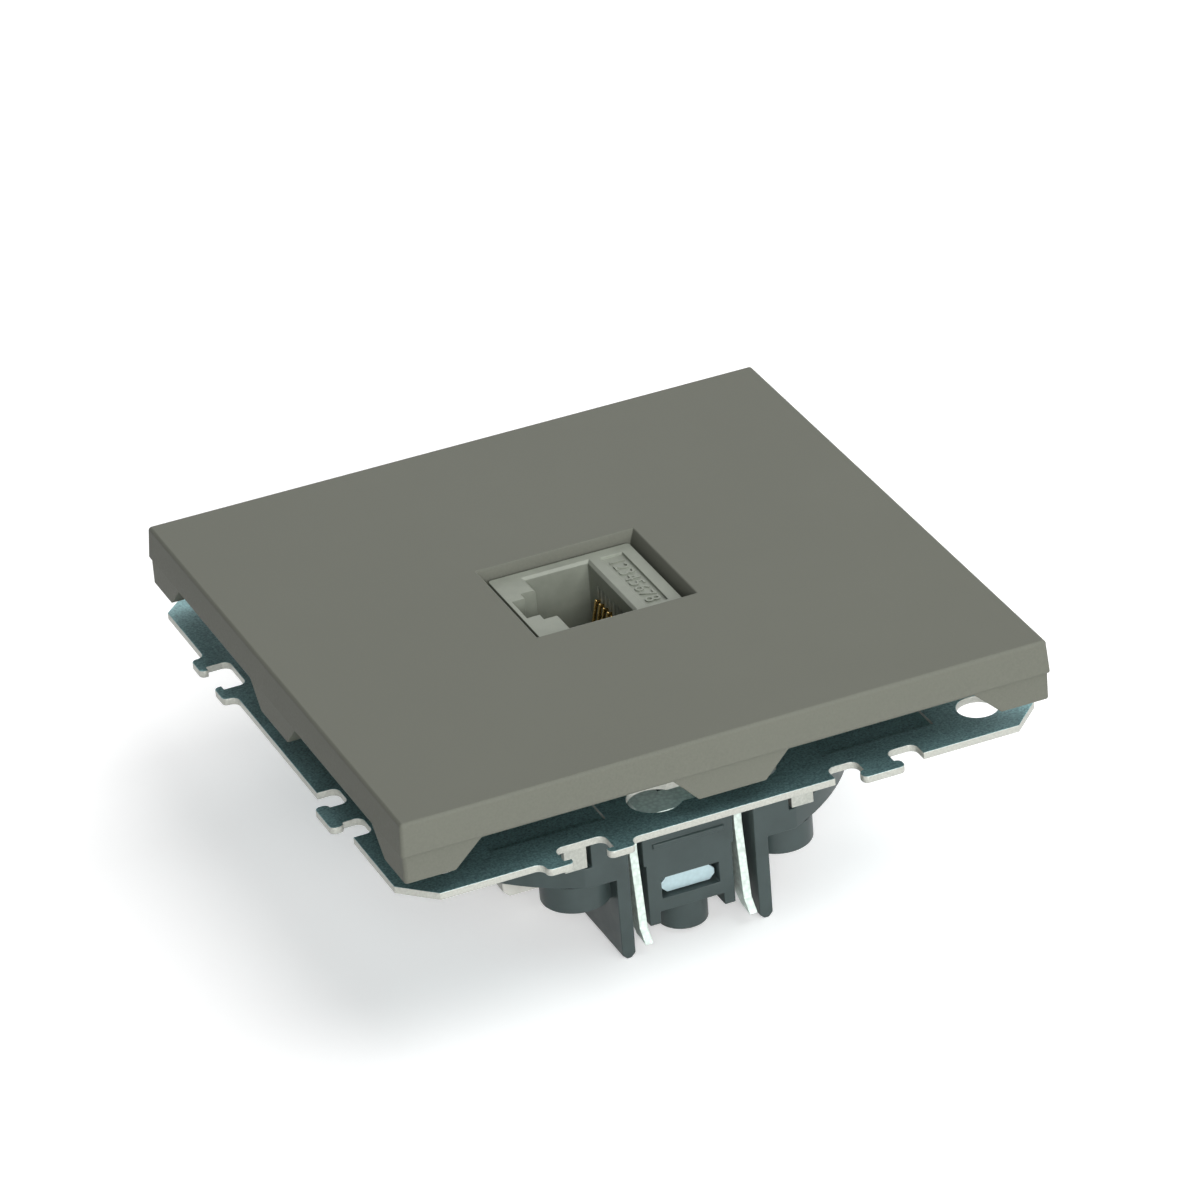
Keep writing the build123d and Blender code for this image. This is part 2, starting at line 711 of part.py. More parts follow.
save(cover_plate, "cover_plate")
save(support_plate, "support_plate")
save(base_body, "base_body")
save(jack_frame, "jack_frame")
save(jack_housing, "jack_housing")
save(circuit_board, "circuit_board")
save(claw_front, "claw_front")
save(claw_back, "claw_back")
save(claw_screw_front, "claw_screw_front")
save(claw_screw_back, "claw_screw_back")
save(claw_nut_front, "claw_nut_front")
save(claw_nut_back, "claw_nut_back")
save(base_screws, "base_screws")
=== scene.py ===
from math import cos, pi, radians, sin

import bmesh
import bpy
from mathutils import Matrix, Quaternion, Vector


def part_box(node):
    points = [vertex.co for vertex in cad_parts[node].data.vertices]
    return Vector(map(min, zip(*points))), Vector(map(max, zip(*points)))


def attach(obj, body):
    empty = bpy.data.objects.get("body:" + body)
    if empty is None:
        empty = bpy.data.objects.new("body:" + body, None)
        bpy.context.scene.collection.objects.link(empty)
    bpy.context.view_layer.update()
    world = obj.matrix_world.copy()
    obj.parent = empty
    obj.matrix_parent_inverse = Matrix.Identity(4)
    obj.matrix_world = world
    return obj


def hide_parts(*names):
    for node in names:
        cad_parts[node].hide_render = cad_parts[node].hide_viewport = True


bl_info = {
    "name": "Ethernet wall socket",
    "version": (1, 0, 0),
    "blender": (4, 5, 0),
    "location": "View3D > Sidebar > Socket",
    "description": "Dresses a flush ethernet wall socket with its plastics, zinc sheet and contacts",
    "category": "Object",
}

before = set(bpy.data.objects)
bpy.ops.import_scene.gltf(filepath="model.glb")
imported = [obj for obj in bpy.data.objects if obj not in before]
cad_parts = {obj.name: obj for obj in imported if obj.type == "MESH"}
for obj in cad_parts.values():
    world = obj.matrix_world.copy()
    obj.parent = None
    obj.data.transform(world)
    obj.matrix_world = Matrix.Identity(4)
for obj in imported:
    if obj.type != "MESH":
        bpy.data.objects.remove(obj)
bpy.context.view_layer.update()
MM = 0.001
# Vertices nearer than this are one, and so are a vertex and a cutting plane.
WELD = 0.0005 * MM
ON_PLANE = 0.0002 * MM
# Neighbouring triangles that turn less than this are one face.
FLAT_TURN = radians(0.6)
# Height of the font's line for digits one unit high.
LINE_PER_DIGIT = 1.38
WHITE = (1.0, 1.0, 1.0, 1.0)


class SocketSizes(bpy.types.PropertyGroup):
    """Sizes of the small work that the solids leave to this file."""

    cover_edge: bpy.props.FloatProperty(
        name="Cover edge", description="Width of the broken edges on the cover",
        default=0.12 * MM, unit="LENGTH", precision=5)
    sheet_edge: bpy.props.FloatProperty(
        name="Sheet edge", description="Width of the broken edges on pressed steel",
        default=0.07 * MM, unit="LENGTH", precision=5)
    moulded_edge: bpy.props.FloatProperty(
        name="Moulded edge", description="Width of the broken edges on the base's plastic",
        default=0.12 * MM, unit="LENGTH", precision=5)
    digit_height: bpy.props.FloatProperty(
        name="Digit height", description="Height of the pole numbers on the jack",
        default=1.75 * MM, unit="LENGTH", precision=5)
    digit_relief: bpy.props.FloatProperty(
        name="Digit relief", description="How far the moulded digits stand out",
        default=0.14 * MM, unit="LENGTH", precision=5)
    thread_pitch: bpy.props.FloatProperty(
        name="Thread pitch", description="Pitch of the claw screws",
        default=0.7 * MM, unit="LENGTH", precision=5)
    thread_depth: bpy.props.FloatProperty(
        name="Thread depth", description="Depth of the thread on the claw screws",
        default=0.28 * MM, unit="LENGTH", precision=5)


def colour(name, text, value):
    """A colour property with its default."""
    return bpy.props.FloatVectorProperty(
        name=name, description=text, subtype="COLOR", size=4, min=0.0, max=1.0, default=value)


class SocketColours(bpy.types.PropertyGroup):
    """Colours of the finishes."""

    cover: colour("Cover", "Warm grey of the soft-touch cover", (0.121, 0.126, 0.104, 1.0))
    jack: colour("Jack", "Pale green-grey of the jack", (0.205, 0.222, 0.185, 1.0))
    base: colour("Base", "Dark blue-grey of the base", (0.041, 0.057, 0.056, 1.0))
    # The sheet colour is darker than the plate's real silver zinc: it carries painted shade and dark
    # reflection from under the cover.
    sheet: colour("Sheet", "Zinc on the support plate", (0.185, 0.33, 0.345, 1.0))
    shear: colour("Shear", "Bare sheared edge of the plate", (0.4, 0.41, 0.37, 1.0))
    zinc: colour("Zinc", "Mottled zinc on the claws", (0.65, 0.75, 0.69, 1.0))
    nut: colour("Nut", "Smooth bluish zinc on the nuts", (0.42, 0.55, 0.58, 1.0))
    gold: colour("Gold", "Gold of the contact wires", (0.86, 0.6, 0.24, 1.0))
    tin: colour("Tin", "Tinned forks", (0.75, 0.75, 0.72, 1.0))
    board: colour("Board", "Solder resist on the board", (0.01, 0.11, 0.05, 1.0))
    block: colour("Block", "Off-white wire blocks", (0.6, 0.6, 0.55, 1.0))
    floor: colour("Floor", "Pale studio floor", (0.82, 0.82, 0.82, 1.0))


class Finish:
    """A node material that is put together in the order it is written."""

    def __init__(self, name):
        self.material = bpy.data.materials.new(name)
        self.material.use_nodes = True
        self.tree = self.material.node_tree
        self.shader = self.tree.nodes["Principled BSDF"]
        self.place = self.add("ShaderNodeTexCoord").outputs["Object"]

    def add(self, kind, **settings):
        """Adds a node; settings name its properties, or its sockets with _ for a space."""
        node = self.tree.nodes.new(kind)
        for key, value in settings.items():
            if hasattr(node, key):
                setattr(node, key, value)
            else:
                node.inputs[key.replace("_", " ")].default_value = value
        return node

    def link(self, source, target):
        """Joins an output to an input."""
        self.tree.links.new(source, target)

    def set(self, **values):
        """Sets constant values on the shader's own sockets."""
        for key, value in values.items():
            self.shader.inputs[key.replace("_", " ")].default_value = value

    def noise(self, scale, detail=3.0, roughness=0.5):
        """Noise on object coordinates; scale is in waves a metre."""
        node = self.add("ShaderNodeTexNoise", Scale=scale, Detail=detail, Roughness=roughness)
        self.link(self.place, node.inputs["Vector"])
        return node.outputs["Fac"]

    def spread(self, source, low, high, start=0.3, end=0.7):
        """Maps a pattern to a range of values."""
        node = self.add("ShaderNodeMapRange", From_Min=start, From_Max=end, To_Min=low, To_Max=high)
        self.link(source, node.inputs["Value"])
        return node.outputs["Result"]

    def tint(self, source, dark, light, start=0.3, end=0.7):
        """Runs a pattern between two colours."""
        ramp = self.add("ShaderNodeValToRGB")
        ramp.color_ramp.elements[0].position = start
        ramp.color_ramp.elements[0].color = dark
        ramp.color_ramp.elements[1].position = end
        ramp.color_ramp.elements[1].color = light
        self.link(source, ramp.inputs["Fac"])
        return ramp.outputs["Color"]

    def mix(self, factor, first, second):
        """Blends two colour outputs."""
        node = self.add("ShaderNodeMix", data_type="RGBA")
        self.link(factor, node.inputs[0])
        self.link(first, node.inputs[6])
        self.link(second, node.inputs[7])
        return node.outputs[2]

    def bump(self, source, distance, strength):
        """Raises a pattern as bump; distance is in metres."""
        node = self.add("ShaderNodeBump", Distance=distance, Strength=strength)
        self.link(source, node.inputs["Height"])
        return node.outputs["Normal"]

    def to(self, **links):
        """Links outputs to the shader's sockets."""
        for key, output in links.items():
            self.link(output, self.shader.inputs[key.replace("_", " ")])


def background_rays(tree):
    """Is 1 for the rays that see the white background: camera, glossy and transmission."""
    rays = tree.nodes.new("ShaderNodeLightPath")
    seen = rays.outputs["Is Camera Ray"]
    for kind in ("Is Glossy Ray", "Is Transmission Ray"):
        either = tree.nodes.new("ShaderNodeMath")
        either.operation = "MAXIMUM"
        tree.links.new(seen, either.inputs[0])
        tree.links.new(rays.outputs[kind], either.inputs[1])
        seen = either.outputs["Value"]
    return seen


def shade(value, factor):
    """A colour made lighter or darker."""
    return (value[0] * factor, value[1] * factor, value[2] * factor, 1.0)


def soft_touch(name, value):
    """Matte moulded plastic with a very fine grain and faint clouding."""
    grain = 0.022 * MM
    finish = Finish(name)
    finish.set(Specular_IOR_Level=0.15)
    grains = finish.noise(3600.0, 2.0, 0.6)
    clouds = finish.noise(55.0, 2.0)
    fine = finish.tint(grains, shade(value, 0.9), shade(value, 1.1))
    cloudy = finish.tint(clouds, shade(value, 0.97), shade(value, 1.03))
    finish.to(
        Base_Color=finish.mix(finish.spread(clouds, 0.35, 0.65), fine, cloudy),
        Roughness=finish.spread(grains, 0.5, 0.68),
        Normal=finish.bump(grains, grain, 0.35),
    )
    return finish.material


def satin_plastic(name, value):
    """Moulded plastic, smoother than the cover, with flow marks."""
    grain = 0.012 * MM
    finish = Finish(name)
    finish.set(Specular_IOR_Level=0.3)
    flow = finish.noise(420.0, 4.0, 0.55)
    grains = finish.noise(5200.0, 2.0)
    finish.to(
        Base_Color=finish.tint(flow, shade(value, 0.9), shade(value, 1.1)),
        Roughness=finish.spread(flow, 0.36, 0.5),
        Normal=finish.bump(grains, grain, 0.3),
    )
    return finish.material


def zinc_sheet(name, face, edge):
    """Plated sheet: dark bluish flat faces whose colour carries painted shade and dark reflection, and
    paler sheared edges.
    """
    grain = 0.02 * MM
    finish = Finish(name)
    grains = finish.noise(4000.0, 3.0, 0.65)
    clouds = finish.noise(160.0, 3.0)
    # The flat faces get the dark sheet colour, which is painted shade and dark reflection; the upright
    # sheared edges keep the paler bare steel.
    shaded_zinc_faces = finish.tint(grains, shade(face, 0.6), shade(face, 1.5))
    sheared = finish.tint(grains, shade(edge, 0.82), shade(edge, 1.1))
    normal = finish.add("ShaderNodeTexCoord").outputs["Normal"]
    parts = finish.add("ShaderNodeSeparateXYZ")
    finish.link(normal, parts.inputs["Vector"])
    flat = finish.add("ShaderNodeMath", operation="ABSOLUTE")
    finish.link(parts.outputs["Z"], flat.inputs[0])
    # Faces that point up or down take the dark colour with painted shade and more metal; upright faces
    # take the paler edge colour.
    facing = finish.spread(flat.outputs["Value"], 0.0, 1.0, 0.5, 0.9)
    finish.to(
        Base_Color=finish.mix(facing, sheared, shaded_zinc_faces),
        Metallic=finish.spread(facing, 0.35, 0.8, 0.0, 1.0),
        Roughness=finish.spread(clouds, 0.36, 0.48),
        Normal=finish.bump(grains, grain, 0.35),
    )
    return finish.material


def bright_zinc(name, value, rough=(0.3, 0.46), spangle=(1.12, 0.8)):
    """Bright plating with a crystalline play of light, as wide as its spangle."""
    grain = 0.006 * MM
    finish = Finish(name)
    finish.set(Metallic=0.3)
    cells = finish.add("ShaderNodeTexVoronoi", Scale=2200.0, Randomness=1.0)
    finish.link(finish.place, cells.inputs["Vector"])
    grains = finish.noise(5200.0, 3.0)
    finish.to(
        Base_Color=finish.tint(
            cells.outputs["Distance"], shade(value, spangle[0]), shade(value, spangle[1]), 0.1, 0.8),
        Roughness=finish.spread(grains, rough[0], rough[1]),
        Normal=finish.bump(grains, grain, 0.4),
    )
    return finish.material


def gold_wire(name, value):
    """Gold plating with a drawn wire's faint streaks."""
    finish = Finish(name)
    finish.set(Metallic=1.0)
    streaks = finish.noise(3000.0, 2.0)
    finish.to(
        Base_Color=finish.tint(streaks, shade(value, 0.85), shade(value, 1.1)),
        Roughness=finish.spread(streaks, 0.16, 0.3),
    )
    return finish.material


def board_resist(name, value):
    """Solder resist over copper tracks."""
    track_height = 0.03 * MM
    finish = Finish(name)
    finish.set(Coat_Weight=0.4, Coat_Roughness=0.15)
    tracks = finish.add(
        "ShaderNodeTexWave", wave_type="BANDS", bands_direction="Y", Scale=120.0, Distortion=2.5)
    finish.link(finish.place, tracks.inputs["Vector"])
    weave = finish.noise(1800.0, 2.0)
    finish.to(
        Base_Color=finish.tint(tracks.outputs["Fac"], value, shade(value, 1.9), 0.62, 0.7),
        Roughness=finish.spread(weave, 0.3, 0.45),
        Normal=finish.bump(tracks.outputs["Fac"], track_height, 0.3),
    )
    return finish.material


def finishes():
    """The materials by name, made once from the colours."""
    tones = bpy.context.scene.socket_colours
    makers = {
        "cover_soft_touch": lambda name: soft_touch(name, tones.cover),
        "jack_plastic": lambda name: satin_plastic(name, tones.jack),
        "base_plastic": lambda name: satin_plastic(name, tones.base),
        # The plate's zinc carries painted shade on its flat faces.
        "plate_zinc": lambda name: zinc_sheet(name, tones.sheet, tones.shear),
        "claw_zinc": lambda name: bright_zinc(name, tones.zinc),
        "nut_zinc": lambda name: bright_zinc(name, tones.nut, (0.28, 0.36), (1.04, 0.95)),
        "screw_zinc": lambda name: bright_zinc(name, tones.shear, (0.25, 0.45)),
        "contact_gold": lambda name: gold_wire(name, tones.gold),
        "fork_tin": lambda name: bright_zinc(name, tones.tin, (0.22, 0.36)),
        "board_resist": lambda name: board_resist(name, tones.board),
        "block_plastic": lambda name: satin_plastic(name, tones.block),
    }
    painted = {}
    for name, make in makers.items():
        # The frame's own plain materials have names of their own, so these start with socket_.
        own_name = "socket_" + name
        painted[name] = bpy.data.materials.get(own_name) or make(own_name)
    return painted


def finish_piece(piece, material, body, replaces=()):
    """Gives a piece its material and body, and hides the nodes it stands for."""
    piece.data.materials.clear()
    piece.data.materials.append(finishes()[material])
    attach(piece, body)
    if replaces:
        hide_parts(*replaces)
    return piece


def object_from(name, shape):
    """A new object from a bmesh, which is freed."""
    mesh = bpy.data.meshes.new(name)
    shape.to_mesh(mesh)
    shape.free()
    piece = bpy.data.objects.new(name, mesh)
    bpy.context.scene.collection.objects.link(piece)
    return piece


def merged_copy(node, cuts=()):
    """A node's mesh with its triangles merged to faces, which the cuts keep free of holes.

    A cut is an axis and a distance along it in mm.
    """
    shape = bmesh.new()
    shape.from_mesh(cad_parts[node].data)
    bmesh.ops.remove_doubles(shape, verts=shape.verts, dist=WELD)
    for axis, place in cuts:
        normal = Vector((axis == "X", axis == "Y", axis == "Z"))
        everything = shape.verts[:] + shape.edges[:] + shape.faces[:]
        cut = bmesh.ops.bisect_plane(
            shape, geom=everything, dist=ON_PLANE, plane_co=normal * place * MM, plane_no=normal)
        for item in cut["geom_cut"]:
            if isinstance(item, bmesh.types.BMEdge):
                item.seam = True
    bmesh.ops.dissolve_limit(
        shape, angle_limit=FLAT_TURN, verts=shape.verts, edges=shape.edges, delimit={"NORMAL", "SEAM"})
    return shape


def broken_edges(node, name, width, cuts=(), segments=2, angle=33.0):
    """A copy of a node whose edges above an angle are rounded over a width."""
    piece = object_from(name, merged_copy(node, cuts))
    for face in piece.data.polygons:
        face.use_smooth = True
    bevel = piece.modifiers.new("broken_edges", "BEVEL")
    bevel.width = width
    bevel.segments = segments
    bevel.limit_method = "ANGLE"
    bevel.angle_limit = radians(angle)
    bevel.use_clamp_overlap = False
    bevel.loop_slide = False
    flat = piece.modifiers.new("flat_faces", "WEIGHTED_NORMAL")
    flat.weight = 100
    return piece


def threaded_copy(node, name, radius, pitch, depth, low, high):
    """A copy of a screw whose shank is thinned to the thread's root, with the ridge wound round it."""
    steps = 24
    on_shank = 0.02 * MM
    sunk = 0.03 * MM
    # Half widths of the ridge in pitches.
    foot, crest = 0.44, 0.07
    bottom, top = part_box(node)
    middle = (bottom + top) / 2
    root = radius - depth
    shape = merged_copy(node)
    for vert in shape.verts:
        across = Vector((vert.co.x - middle.x, vert.co.y - middle.y, 0.0))
        if abs(across.length - radius) < on_shank:
            vert.co -= across * (depth / radius)
    profile = ((root - sunk, -foot), (radius, -crest), (radius, crest), (root - sunk, foot))
    ring = [shape.verts.new((middle.x + out, middle.y, low + up * pitch)) for out, up in profile]
    loop = [shape.edges.new((ring[place - 1], ring[place])) for place in range(len(ring))]
    turns = int((high - low) / pitch)
    bmesh.ops.spin(
        shape, geom=ring + loop, cent=(middle.x, middle.y, low), axis=(0.0, 0.0, 1.0),
        dvec=(0.0, 0.0, pitch / steps), angle=2 * pi * turns, steps=steps * turns)
    bmesh.ops.holes_fill(shape, edges=shape.edges, sides=4)
    bmesh.ops.recalc_face_normals(shape, faces=shape.faces)
    return object_from(name, shape)


def crossed_copy(node, name, centres, radius, reach, width, depth):
    """A copy of a node of screws with rounded heads and a cross sunk into each."""
    rim_width = 0.4 * MM
    cross_draft = 0.1 * MM
    shape = merged_copy(node)
    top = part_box(node)[1].z

    def caps(centre):
        """The top faces of the head at a centre."""
        found = []
        for face in shape.faces:
            middle = face.calc_center_median()
            if abs(middle.z - top) < 2 * WELD and (middle.xy - centre).length < radius:
                found.append(face)
        return found

    for place in centres:
        centre = Vector(place)
        rim = [edge for face in caps(centre) for edge in face.edges]
        bmesh.ops.bevel(
            shape, geom=rim, offset=rim_width, segments=3, profile=0.5, affect="EDGES", material=-1)
        for axis in range(2):
            normal = Vector((axis == 0, axis == 1, 0.0))
            for distance in (-reach, -width / 2, width / 2, reach):
                faces = caps(centre)
                edges = list(dict.fromkeys(edge for face in faces for edge in face.edges))
                verts = list(dict.fromkeys(vert for face in faces for vert in face.verts))
                bmesh.ops.bisect_plane(
                    shape, geom=verts + edges + faces, dist=ON_PLANE,
                    plane_co=centre.to_3d() + normal * distance, plane_no=normal)
        cross = []
        for face in caps(centre):
            away = face.calc_center_median().xy - centre
            near, far = sorted((abs(away.x), abs(away.y)))
            if near < width / 2 and far < reach:
                cross.append(face)
        bmesh.ops.inset_region(
            shape, faces=cross, thickness=cross_draft, depth=-depth, use_boundary=True,
            use_even_offset=True)
    return object_from(name, shape)


def carried_over(node, material):
    """A CAD node that keeps its shape and gets a better material."""
    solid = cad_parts[node]
    solid.data.materials.clear()
    solid.data.materials.append(finishes()[material])


def digits(name, text, height, relief, placing):
    """Raised digits, extruded from flat letters, at a place given by a matrix."""
    curve = bpy.data.curves.new(name + "_outline", "FONT")
    curve.body = text
    curve.size = height * LINE_PER_DIGIT
    curve.align_x = "CENTER"
    curve.align_y = "CENTER"
    curve.resolution_u = 3
    curve.extrude = relief / 2
    flat = bpy.data.objects.new(name + "_outline", curve)
    bpy.context.scene.collection.objects.link(flat)
    bpy.context.view_layer.update()
    mesh = bpy.data.meshes.new_from_object(flat.evaluated_get(bpy.context.evaluated_depsgraph_get()))
    bpy.data.objects.remove(flat)
    mesh.name = name
    mesh.transform(placing @ Matrix.Translation((0.0, 0.0, relief / 2)))
    piece = bpy.data.objects.new(name, mesh)
    bpy.context.scene.collection.objects.link(piece)
    return piece


class SOCKET_OT_cover(bpy.types.Operator):
    """Dress the cover plate"""

    bl_idname = "socket.cover"
    bl_label = "Cover plate"

    # Planes that keep the opening out of the merged faces.
    cuts = (("X", 0.0), ("Y", 0.0))

    def execute(self, context):
        sizes = context.scene.socket_sizes
        cover = broken_edges("cover_plate", "cover_shell", sizes.cover_edge, self.cuts)
        finish_piece(cover, "cover_soft_touch", "cover", ["cover_plate"])
        return {"FINISHED"}


class SOCKET_OT_plate(bpy.types.Operator):
    """Dress the pressed support plate and the screws in its lug feet"""

    bl_idname = "socket.plate"
    bl_label = "Support plate"

    # Planes through the holes and panels, in mm.
    cuts = tuple((axis, place) for axis in "XY" for place in (-30.0, -18.6, 0.0, 18.6, 30.0))
    screw_head_radius = 2.3 * MM
    cross_reach = 1.35 * MM
    cross_width = 0.75 * MM
    cross_depth = 0.8 * MM

    def execute(self, context):
        sizes = context.scene.socket_sizes
        plate = broken_edges("support_plate", "support_sheet", sizes.sheet_edge, self.cuts)
        finish_piece(plate, "plate_zinc", "base", ["support_plate"])
        low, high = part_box("base_screws")
        head = self.screw_head_radius
        places = [(x, y) for x in (low.x + head, high.x - head) for y in (low.y + head, high.y - head)]
        screws = crossed_copy(
            "base_screws", "crossed_screws", places, head, self.cross_reach, self.cross_width,
            self.cross_depth)
        finish_piece(screws, "screw_zinc", "base", ["base_screws"])
        return {"FINISHED"}


class SOCKET_OT_base(bpy.types.Operator):
    """Dress the moulded base and the frame that closes its core"""

    bl_idname = "socket.base"
    bl_label = "Base body"

    # Planes through the bosses, the towers and the core, in mm.
    cuts = tuple((axis, place) for axis in "XY" for place in (-19.3, -12.0, 0.0, 12.0, 19.3))

    def execute(self, context):
        sizes = context.scene.socket_sizes
        base = broken_edges("base_body", "base_moulding", sizes.moulded_edge, self.cuts)
        finish_piece(base, "base_plastic", "base", ["base_body"])
        cap = broken_edges("jack_frame", "core_frame", sizes.moulded_edge)
        finish_piece(cap, "base_plastic", "base", ["jack_frame"])
        return {"FINISHED"}


class SOCKET_OT_jack(bpy.types.Operator):
    """Dress the jack, its pole numbers and its contact wires"""

    bl_idname = "socket.jack"
    bl_label = "Jack"

    # Planes through the middle of the jack's opening, in mm.
    cuts = (("Y", 0.0), ("X", -0.85))
    jack_edge = 0.05 * MM
    # A little less than half the wire's width, so that the square wire turns round.
    wire_edge = 0.13 * MM
    label_x = 5.4 * MM
    label_floor = 0.3 * MM
    poles = "12345678"
    pole_pitch = 1.3 * MM

    def execute(self, context):
        sizes = context.scene.socket_sizes
        jack = broken_edges("jack_housing", "jack_moulding", self.jack_edge, self.cuts)
        finish_piece(jack, "jack_plastic", "base", ["jack_housing"])
        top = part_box("jack_housing")[1].z
        turned = Matrix.Rotation(-pi / 2, 4, "Z")
        for number, pole in enumerate(self.poles):
            y = ((len(self.poles) - 1) / 2 - number) * self.pole_pitch
            place = Matrix.Translation((self.label_x, y, top - self.label_floor)) @ turned
            mark = digits("pole_number_" + pole, pole, sizes.digit_height, sizes.digit_relief, place)
            finish_piece(mark, "jack_plastic", "base")
            wire = broken_edges("contact_wire_" + pole, "round_wire_" + pole, self.wire_edge, segments=3)
            finish_piece(wire, "contact_gold", "base", ["contact_wire_" + pole])
        return {"FINISHED"}


class SOCKET_OT_claws(bpy.types.Operator):
    """Dress the claws and nuts and cut the threads of their screws"""

    bl_idname = "socket.claws"
    bl_label = "Claws"

    shank_radius = 1.45 * MM
    thread_low = -20.1 * MM
    thread_high = -1.2 * MM

    def execute(self, context):
        sizes = context.scene.socket_sizes
        for side in ("front", "back"):
            claw = broken_edges("claw_" + side, "claw_strip_" + side, sizes.sheet_edge)
            finish_piece(claw, "claw_zinc", "claw_" + side + "_arm", ["claw_" + side])
            nut = broken_edges("claw_nut_" + side, "claw_nut_plate_" + side, sizes.sheet_edge / 2)
            finish_piece(nut, "nut_zinc", "nut_" + side, ["claw_nut_" + side])
            screw = threaded_copy(
                "claw_screw_" + side, "threaded_screw_" + side, self.shank_radius, sizes.thread_pitch,
                sizes.thread_depth, self.thread_low, self.thread_high)
            finish_piece(screw, "screw_zinc", "screw_" + side, ["claw_screw_" + side])
        return {"FINISHED"}


class SOCKET_OT_wiring(bpy.types.Operator):
    """Dress the board, the wire blocks and their forks"""

    bl_idname = "socket.wiring"
    bl_label = "Board and blocks"

    block_edge = 0.1 * MM
    fork_pitch = 4.0 * MM
    forks_a_side = 4
    number_level = -12.85 * MM
    number_height = 1.6 * MM
    number_relief = 0.12 * MM

    def number(self, side):
        """Raised pole numbers on a wire block's outer face, upright for a socket held face down."""
        low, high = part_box("idc_block_" + side)
        out = -1.0 if side == "left" else 1.0
        face = low.x if side == "left" else high.x
        first = 1 if side == "left" else 1 + self.forks_a_side
        turned = Matrix((
            (0.0, 0.0, out, 0.0),
            (-out, 0.0, 0.0, 0.0),
            (0.0, -1.0, 0.0, 0.0),
            (0.0, 0.0, 0.0, 1.0),
        ))
        for place in range(self.forks_a_side):
            y = (place - (self.forks_a_side - 1) / 2) * self.fork_pitch
            spot = Matrix.Translation((face, y, self.number_level)) @ turned
            pole = str(first + place)
            mark = digits("block_number_" + pole, pole, self.number_height, self.number_relief, spot)
            finish_piece(mark, "block_plastic", "base")

    def execute(self, context):
        carried_over("circuit_board", "board_resist")
        for side in ("left", "right"):
            block = broken_edges("idc_block_" + side, "wire_block_" + side, self.block_edge)
            finish_piece(block, "block_plastic", "base", ["idc_block_" + side])
            self.number(side)
        for pole in range(1, 1 + 2 * self.forks_a_side):
            carried_over("idc_terminal_" + str(pole), "fork_tin")
        return {"FINISHED"}


def bearing(azimuth, elevation):
    """The direction from the socket to a place seen at these angles, in degrees, 0 being the front."""
    turn, rise = radians(azimuth), radians(elevation)
    return Vector((sin(turn) * cos(rise), -cos(turn) * cos(rise), sin(rise)))


def pointed(back):
    """The turn that points a lamp or camera against a direction."""
    return (-back).to_track_quat("-Z", "Y")


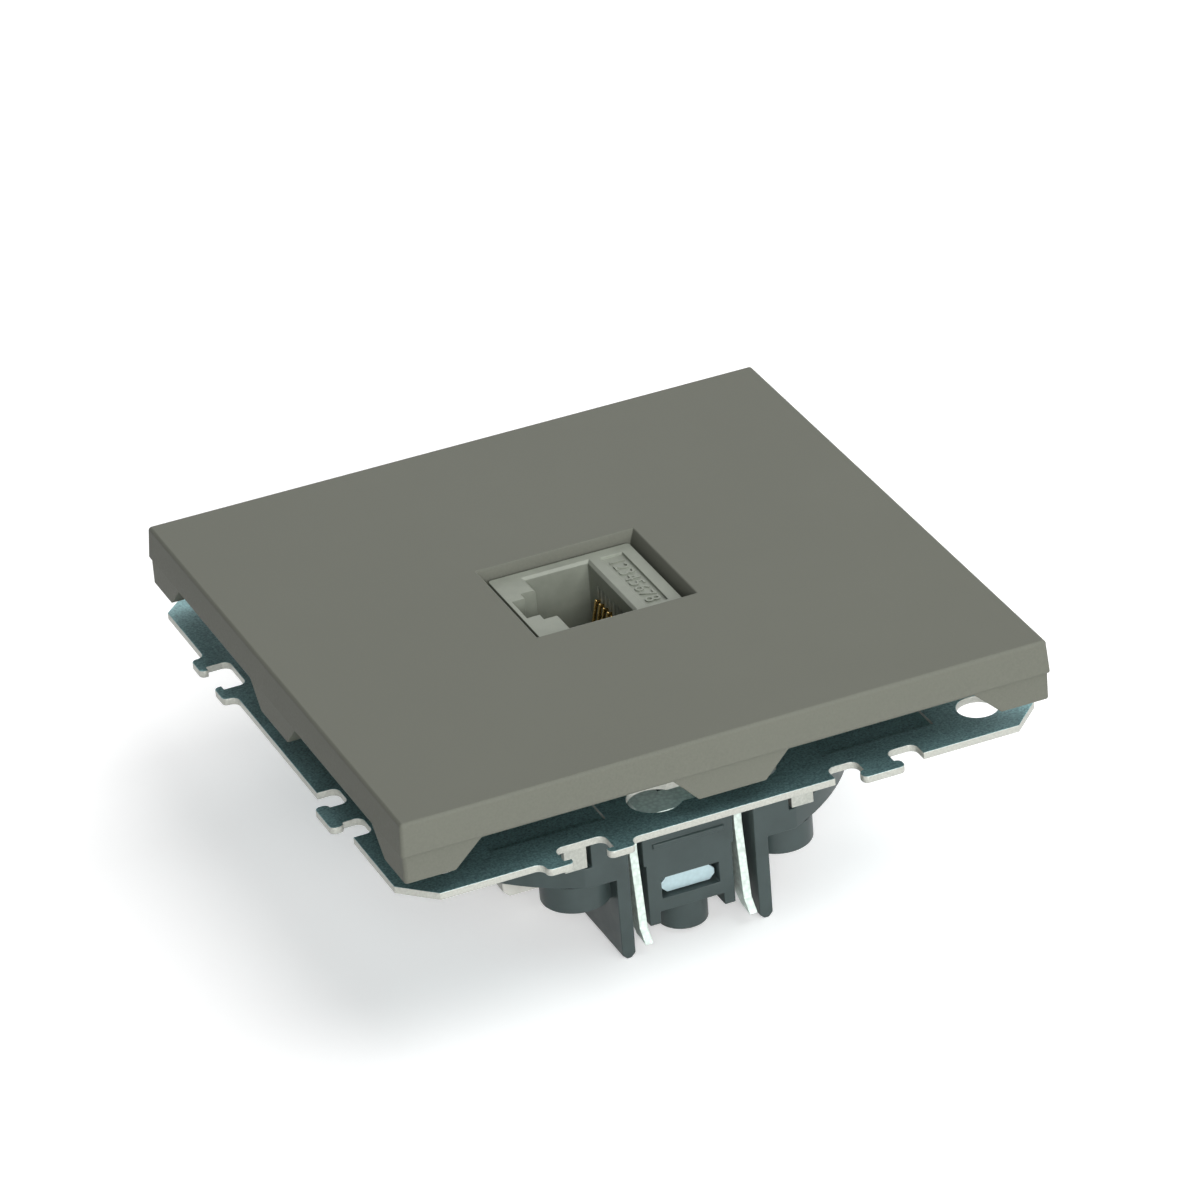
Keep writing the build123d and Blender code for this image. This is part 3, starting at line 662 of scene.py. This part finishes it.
class SOCKET_OT_stage(bpy.types.Operator):
    """Set the floor, the lights and the camera"""

    bl_idname = "socket.stage"
    bl_label = "Stage"

    # The camera is the one that was fitted to the photograph; its angles are in degrees.
    aim = Vector((-0.27, -4.32, 9.7)) * MM
    distance = 680.5 * MM
    azimuth = -21.59
    elevation = 29.11
    roll = 4.61
    focal_length = 197.6
    sensor_width = 36.0
    floor_half = 3.0
    floor_lift = 0.385
    ambient_strength = 0.06
    lamps = (
        # name, azimuth, elevation, distance, size, watts
        ("low_softbox", -2.0, 11.0, 1.25, 0.7, 11.5),
        ("front_softbox", -18.0, 27.0, 1.25, 0.5, 5.0),
        ("high_softbox", 35.0, 62.0, 1.25, 0.9, 10.5),
        ("right_softbox", 100.0, 38.0, 1.25, 0.7, 6.0),
        ("back_softbox", 170.0, 12.0, 1.25, 0.9, 2.5),
    )

    def floor(self):
        """A pale floor under the lowest point, which shows white and keeps the shadow."""
        level = min(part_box(node)[0].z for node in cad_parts)
        shape = bmesh.new()
        bmesh.ops.create_grid(shape, x_segments=1, y_segments=1, size=self.floor_half)
        bmesh.ops.translate(shape, verts=shape.verts, vec=(0.0, 0.0, level))
        ground = object_from("studio_floor", shape)
        finish = Finish("studio_floor_paper")
        finish.set(
            Base_Color=bpy.context.scene.socket_colours.floor, Roughness=0.9, Specular_IOR_Level=0.1,
            Emission_Color=WHITE)
        seen = background_rays(finish.tree)
        finish.to(Emission_Strength=finish.spread(seen, 0.0, self.floor_lift, 0.0, 1.0))
        ground.data.materials.append(finish.material)

    def world(self):
        """A dim light from all round, which the background rays see as white."""
        world = bpy.data.worlds.new("studio_light")
        bpy.context.scene.world = world
        world.use_nodes = True
        tree = world.node_tree
        ambient = tree.nodes["Background"]
        ambient.inputs["Color"].default_value = WHITE
        ambient.inputs["Strength"].default_value = self.ambient_strength
        white = tree.nodes.new("ShaderNodeBackground")
        white.inputs["Color"].default_value = WHITE
        white.inputs["Strength"].default_value = 1.0
        mixer = tree.nodes.new("ShaderNodeMixShader")
        tree.links.new(background_rays(tree), mixer.inputs["Fac"])
        tree.links.new(ambient.outputs["Background"], mixer.inputs[1])
        tree.links.new(white.outputs["Background"], mixer.inputs[2])
        tree.links.new(mixer.outputs["Shader"], tree.nodes["World Output"].inputs["Surface"])

    def lamp(self, name, azimuth, elevation, distance, size, watts):
        """A round softbox that points at the socket."""
        data = bpy.data.lights.new(name, "AREA")
        data.shape = "DISK"
        data.size = size
        data.energy = watts
        lamp = bpy.data.objects.new(name, data)
        back = bearing(azimuth, elevation)
        lamp.location = back * distance
        lamp.rotation_mode = "QUATERNION"
        lamp.rotation_quaternion = pointed(back)
        bpy.context.scene.collection.objects.link(lamp)

    def camera(self):
        """The camera that sees the socket as the photograph does."""
        data = bpy.data.cameras.new("photo_camera")
        data.lens = self.focal_length
        data.sensor_width = self.sensor_width
        data.clip_start = 0.05
        data.clip_end = 20.0
        camera = bpy.data.objects.new("photo_camera", data)
        back = bearing(self.azimuth, self.elevation)
        camera.location = self.aim + back * self.distance
        camera.rotation_mode = "QUATERNION"
        camera.rotation_quaternion = pointed(back) @ Quaternion((0.0, 0.0, 1.0), radians(-self.roll))
        bpy.context.scene.collection.objects.link(camera)
        bpy.context.scene.camera = camera

    def execute(self, context):
        self.floor()
        self.world()
        for settings in self.lamps:
            self.lamp(*settings)
        self.camera()
        context.scene.view_settings.view_transform = "Standard"
        return {"FINISHED"}


class SOCKET_PT_panel(bpy.types.Panel):
    """Lists the socket's steps, sizes and colours"""

    bl_idname = "SOCKET_PT_panel"
    bl_label = "Ethernet wall socket"
    bl_space_type = "VIEW_3D"
    bl_region_type = "UI"
    bl_category = "Socket"

    def draw(self, context):
        column = self.layout.column(align=True)
        for step in STEPS:
            column.operator(step.bl_idname)
        for group in (context.scene.socket_sizes, context.scene.socket_colours):
            column.separator()
            for key in group.__annotations__:
                column.prop(group, key)


STEPS = (
    SOCKET_OT_cover,
    SOCKET_OT_plate,
    SOCKET_OT_base,
    SOCKET_OT_jack,
    SOCKET_OT_claws,
    SOCKET_OT_wiring,
    SOCKET_OT_stage,
)
CLASSES = (SocketSizes, SocketColours, *STEPS, SOCKET_PT_panel)


def register():
    """Register the classes and the scene's settings."""
    for item in CLASSES:
        bpy.utils.register_class(item)
    bpy.types.Scene.socket_sizes = bpy.props.PointerProperty(type=SocketSizes)
    bpy.types.Scene.socket_colours = bpy.props.PointerProperty(type=SocketColours)


def unregister():
    """Take the settings and the classes away again."""
    del bpy.types.Scene.socket_colours
    del bpy.types.Scene.socket_sizes
    for item in reversed(CLASSES):
        bpy.utils.unregister_class(item)


def main():
    """Build the socket."""
    register()
    bpy.ops.socket.cover()
    bpy.ops.socket.plate()
    bpy.ops.socket.base()
    bpy.ops.socket.jack()
    bpy.ops.socket.claws()
    bpy.ops.socket.wiring()
    bpy.ops.socket.stage()


if __name__ == "__main__":
    main()
